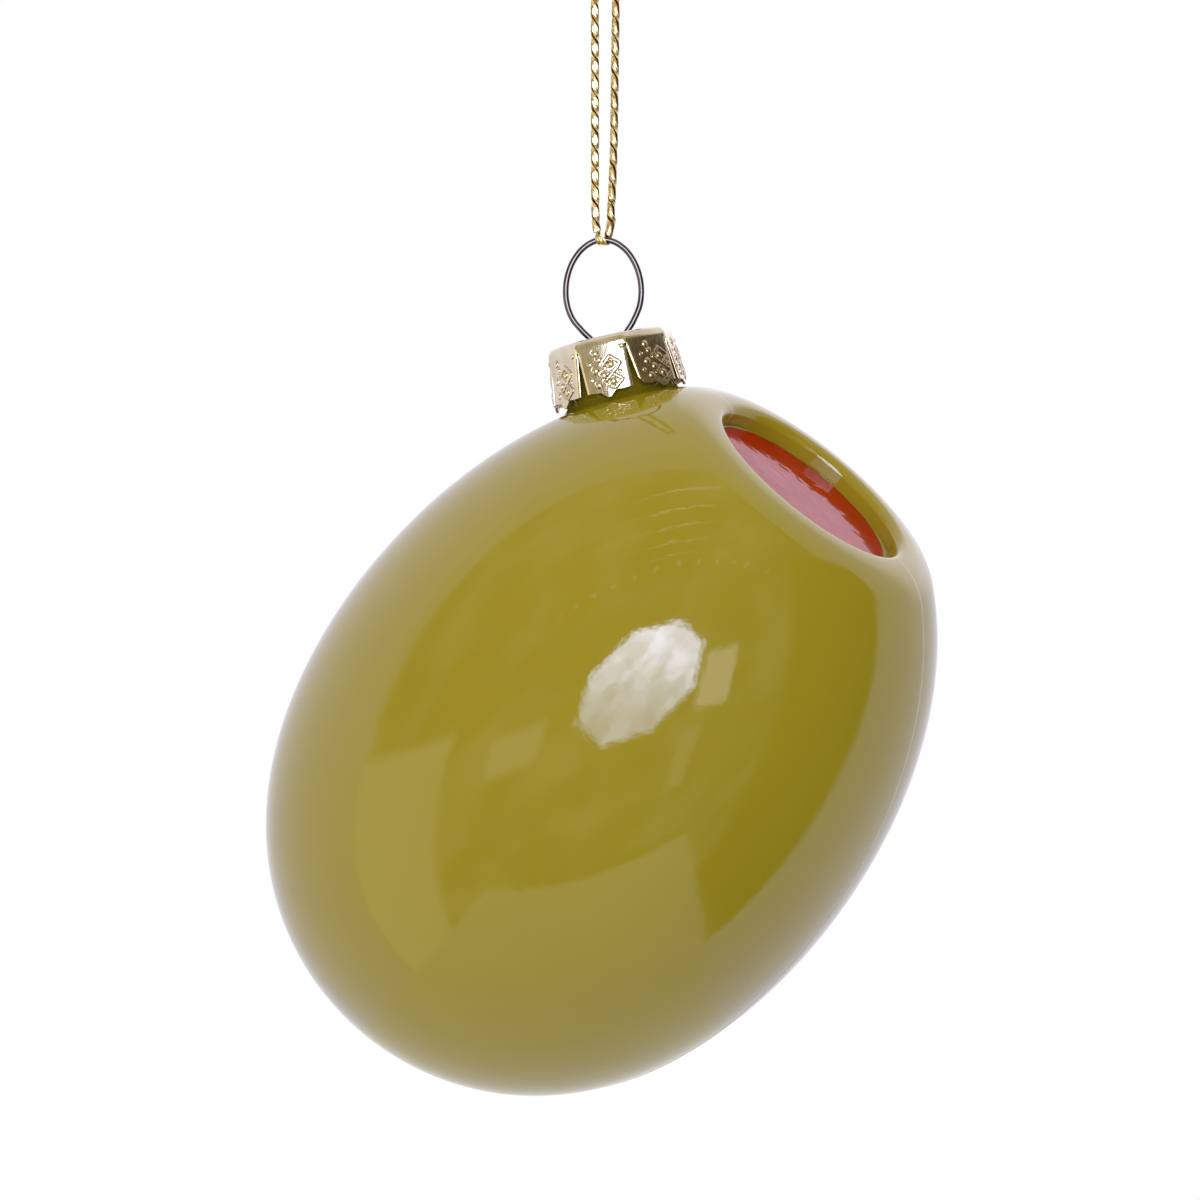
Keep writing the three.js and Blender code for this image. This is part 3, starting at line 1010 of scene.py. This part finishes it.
def red_material():
    material, sheet, shader, place = new_material("red_paint", IOR=1.25, Roughness=0.04)
    reds = ((0.40, 0.002, 0.001, 1), (0.47, 0.004, 0.001, 1))
    sheet.set(shader, "Base Color", sheet.clouds(place, 260.0, 3.0, 0.35, 0.7, *reds))
    sheet.set(shader, "Normal", sheet.bump(sheet.noise(place, 420.0), 0.00003))
    return material


def cap_material():
    material, sheet, shader, place = new_material("pale_gold_sheet", Metallic=1.0)
    golds = ((0.57, 0.465, 0.285, 1), (0.77, 0.68, 0.5, 1))
    colour = sheet.clouds(place, 300.0, 3.0, 0.3, 0.7, *golds)
    # Painted dark reflection on the cut petal below its fold
    colour = sheet.mix(sheet.values("painted_petal_shade"), colour, (0.43, 0.315, 0.17, 1))
    sheet.set(shader, "Base Color", colour)
    brushing = sheet.node("Mapping", Vector=place, Scale=(5000.0, 5000.0, 160.0)).outputs[0]
    lines = sheet.noise(brushing, 1.0)
    sheet.set(shader, "Roughness", sheet.fit(lines, 0.3, 0.7, 0.14, 0.24))
    sheet.set(shader, "Normal", sheet.bump(lines, 0.000008))
    return material


def wire_material():
    material, sheet, shader, place = new_material("drawn_steel", Metallic=1.0, Roughness=0.14)
    greys = ((0.088, 0.074, 0.07, 1), (0.125, 0.108, 0.1, 1))
    sheet.set(shader, "Base Color", sheet.clouds(place, 500.0, 2.0, 0.35, 0.7, *greys))
    return material


def cord_material():
    material, sheet, shader, place = new_material(
        "gold_thread", Metallic=1.0, Roughness=0.3, Coat_IOR=1.85, Coat_Roughness=0.3,
    )
    golds = ((0.46, 0.29, 0.035, 1), (0.95, 0.82, 0.45, 1))
    colour = sheet.clouds(place, 2600.0, 2.0, 0.35, 0.65, *golds)
    outer = sheet.values("outward")
    # Painted shade: the colour is darker in the grooves between the plies
    colour = sheet.mix(sheet.fit(outer, 0.1, 0.9), (0.4, 0.22, 0.03, 1), colour)
    sheet.set(shader, "Base Color", colour)
    sheet.set(shader, "Coat Weight", outer)
    sheet.set(shader, "Normal", sheet.bump(sheet.noise(place, 5000.0, 1.0), 0.0000025))
    return material


glass.data.materials.append(glass_material())
red.data.materials.append(red_material())
cap.data.materials.append(cap_material())
wire.data.materials.append(wire_material())
gold_thread = cord_material()
cord.data.materials.append(gold_thread)
knot.data.materials.append(gold_thread)


# Studio: the light that the glossy glass reflects, by azimuth from the front and by elevation

pale_wall = (0.95, 0.95, 1.1, 1)
pale_frame = (0.92, 0.9, 0.9, 1)
room_shades = ((0.38, 0.34, 0.24, 1), (0.85, 0.78, 0.6, 1))
# from and to in azimuth, from and to in elevation, softness, all in degrees, and colour
light_patches = [
    (50, 96, -58, 30, 2.5, (0.10, 0.09, 0.07)),
    (-90, -58, -52, 5, 1.5, (1.5, 1.4, 1.05)),
    (17, 28, -10, 6, 1.0, (3.0, 2.9, 2.7)),
    (15, 21, -30, -15, 1.0, (1.2, 1.1, 0.9)),
    (-45, -30, -10, 0, 1.5, (1.5, 1.4, 1.2)),
    (130, 180, 8, 48, 6.0, (1.42, 1.4, 1.6)),
]
lamp_centre = (-0.052, 0.052)  # slopes to the right and up from straight ahead
lamp_half_size = (0.322, 0.28)
lamp_shade = (0.74, 0.8, 1.08)


def room_light(sheet, toward, x, front, z):
    """The room in front, in a pale frame round its top, and pale walls beside and behind."""
    up = sheet.math("MAXIMUM", z, 0.0)
    right = sheet.math("MAXIMUM", x, 0.0)
    # The room's edge bends forward at the upper right
    edge = sheet.times(x, sheet.fit(up, 0.15, 0.8, 0.0, 0.33))
    edge = sheet.math("ADD", edge, sheet.times(up, 0.17))
    edge = sheet.math("SUBTRACT", edge, sheet.times(right, sheet.fit(up, 0.0, 0.3, 0.1, 0.0)))
    inside = sheet.math("SUBTRACT", front, edge)
    framed = sheet.math("ADD", inside, sheet.times(up, 0.2))
    colour = sheet.mix(sheet.fit(framed, -0.012, 0.012), pale_wall, pale_frame)
    colour = sheet.mix(sheet.fit(z, 0.1, 0.4, 1.0, 0.0), colour, pale_wall)
    room = sheet.clouds(toward, 3.5, 4.0, 0.42, 0.68, *room_shades)
    return sheet.mix(sheet.fit(inside, -0.03, 0.03), colour, room)


def ceiling_lines(sheet, x, front, z):
    """Thin bright lines along the ceiling and a row of short ones where it ends."""
    above = sheet.math("MAXIMUM", z, 0.05)
    across = sheet.math("DIVIDE", x, above)
    ahead = sheet.math("DIVIDE", front, above)
    band = sheet.math("PINGPONG", sheet.math("SUBTRACT", ahead, 0.35), 0.095)
    line = sheet.fit(band, 0.004, 0.011, 1.0, 0.0)
    from_middle = sheet.math("POWER", sheet.math("ADD", across, 0.05), 2.0)
    middle = sheet.math("POWER", math.e, sheet.times(from_middle, -30.0))
    line = sheet.times(
        line,
        sheet.window(ahead, 0.3, 1.2, 0.02),
        sheet.math("MULTIPLY_ADD", middle, 1.6, 0.25),
        sheet.window(across, -1.0, 0.8, 0.3),
    )
    bow = sheet.times(sheet.math("POWER", sheet.math("ABSOLUTE", across), 1.6), 0.15)
    row = sheet.math("SUBTRACT", sheet.math("SUBTRACT", ahead, bow), 1.27)
    tick = sheet.times(
        sheet.fit(sheet.math("PINGPONG", across, 0.1), 0.012, 0.024, 1.0, 0.0),
        sheet.window(row, -0.045, 0.045, 0.015),
        sheet.window(across, -1.2, 1.4, 0.1),
    )
    line = sheet.math("ADD", line, sheet.times(tick, 1.1))
    return sheet.vector_math("SCALE", (1.0, 0.97, 0.8), line)


def add_patches(sheet, colour, x, front, z):
    azimuth = sheet.math("DEGREES", sheet.math("ARCTAN2", x, front))
    elevation = sheet.math("DEGREES", sheet.math("ARCSINE", z))
    for left, right, low, high, soft, shade in light_patches:
        share = sheet.times(
            sheet.window(azimuth, left, right, soft),
            sheet.window(elevation, low, high, soft),
        )
        colour = sheet.mix(share, colour, (*shade, 1))
    return colour


def add_table(sheet, colour, x, y, z):
    """The white table, by where a direction meets it in heights of the glass above it."""
    below = sheet.math("MAXIMUM", sheet.times(z, -1.0), 0.001)
    across = sheet.math("DIVIDE", x, below)
    back = sheet.math("DIVIDE", y, below)
    share = sheet.times(
        sheet.window(across, -0.8, 0.6, 0.03),
        sheet.window(back, -0.93, 40.0, 0.03),
        sheet.math("LESS_THAN", z, -0.05),
    )
    near = sheet.fit(back, -0.93, 0.0, 1.0, 0.0)
    return sheet.mix(share, colour, sheet.mix(near, (0.95, 0.95, 0.95, 1), (1.3, 1.25, 1.0, 1)))


def add_lamp(sheet, colour, toward, x, front, z):
    """The eight-sided soft light in front, with its ribs and the creases in its cloth."""
    ahead = sheet.math("MAXIMUM", front, 0.01)
    across = sheet.math("SUBTRACT", sheet.math("DIVIDE", x, ahead), lamp_centre[0])
    up = sheet.math("SUBTRACT", sheet.math("DIVIDE", z, ahead), lamp_centre[1])
    glow = sheet.math("ADD", up, sheet.times(across, 0.35))
    glow = sheet.fit(glow, -0.15, 0.2, 6.5, 17.0)
    rib = sheet.math("PINGPONG", sheet.math("ARCTAN2", up, across), math.pi / 8)
    out = sheet.math("MAXIMUM", sheet.math("ABSOLUTE", across), sheet.math("ABSOLUTE", up))
    ribs = sheet.fit(sheet.times(rib, out), 0.0, 0.006, 0.82, 1.0)
    creases = sheet.fit(sheet.noise(toward, 7.0), 0.4, 0.6, 0.76, 1.1)
    glow = sheet.times(glow, ribs, creases)
    across = sheet.math("ABSOLUTE", sheet.math("DIVIDE", across, lamp_half_size[0]))
    up = sheet.math("ABSOLUTE", sheet.math("DIVIDE", up, lamp_half_size[1]))
    corner = sheet.times(sheet.math("ADD", across, up), math.sqrt(0.5))
    reach = sheet.math("MAXIMUM", sheet.math("MAXIMUM", across, up), corner)
    share = sheet.times(sheet.fit(reach, 0.91, 1.07, 1.0, 0.0), sheet.math("GREATER_THAN", front, 0.0))
    return sheet.mix(share, colour, sheet.vector_math("SCALE", lamp_shade, glow))


def matt_light(sheet, colour, z):
    """Light that falls on matt surfaces: the same, dimmed and evened out, with more from above."""
    extra = sheet.math("MULTIPLY_ADD", z, 0.2, 0.17)
    even = sheet.node("CombineXYZ", X=extra, Y=extra, Z=extra).outputs[0]
    return sheet.mix(1.0, sheet.vector_math("SCALE", colour, 0.537), even, "ADD")


def make_world():
    world = bpy.data.worlds.new("studio")
    world.use_nodes = True
    bpy.context.scene.world = world
    sheet = Sheet(world.node_tree)
    toward = sheet.node("TexCoord").outputs["Generated"]
    x, y, z = sheet.node("SeparateXYZ", Vector=toward).outputs
    front = sheet.times(y, -1.0)
    colour = room_light(sheet, toward, x, front, z)
    colour = sheet.mix(1.0, colour, ceiling_lines(sheet, x, front, z), "ADD")
    colour = add_patches(sheet, colour, x, front, z)
    colour = add_table(sheet, colour, x, y, z)
    colour = add_lamp(sheet, colour, toward, x, front, z)
    path = sheet.node("LightPath").outputs
    colour = sheet.mix(path["Is Glossy Ray"], matt_light(sheet, colour, z), colour)
    light = sheet.node("Background", Color=colour)
    white = sheet.node("Background", Color=(1, 1, 1, 1))
    parts = (path["Is Camera Ray"], light.outputs[0], white.outputs[0])
    sheet.node("OutputWorld", Surface=sheet.node("MixShader", None, parts).outputs[0])


make_world()


# Floor

floor_height = -200.0


def make_floor():
    steps = 96
    angles = round_angles(steps)
    height = np.full(steps, floor_height)
    rings = [ring(radius, angles, height) for radius in (1, 120, 300, 480)]
    faces = grid_faces(len(rings), steps, closed=True) + [tuple(range(steps))[::-1]]
    floor = make_mesh("floor", np.vstack(rings), faces)
    for ray in ("glossy", "diffuse", "shadow", "transmission"):
        setattr(floor, "visible_" + ray, False)
    material = bpy.data.materials.new("pale_floor")
    material.use_nodes = True
    sheet = Sheet(material.node_tree)
    shader = sheet.node("BsdfDiffuse", Color=(0.8, 0.8, 0.8, 1))
    sheet.node("OutputMaterial", Surface=shader.outputs[0])
    floor.data.materials.append(material)


make_floor()

bpy.context.scene.view_settings.view_transform = "Standard"
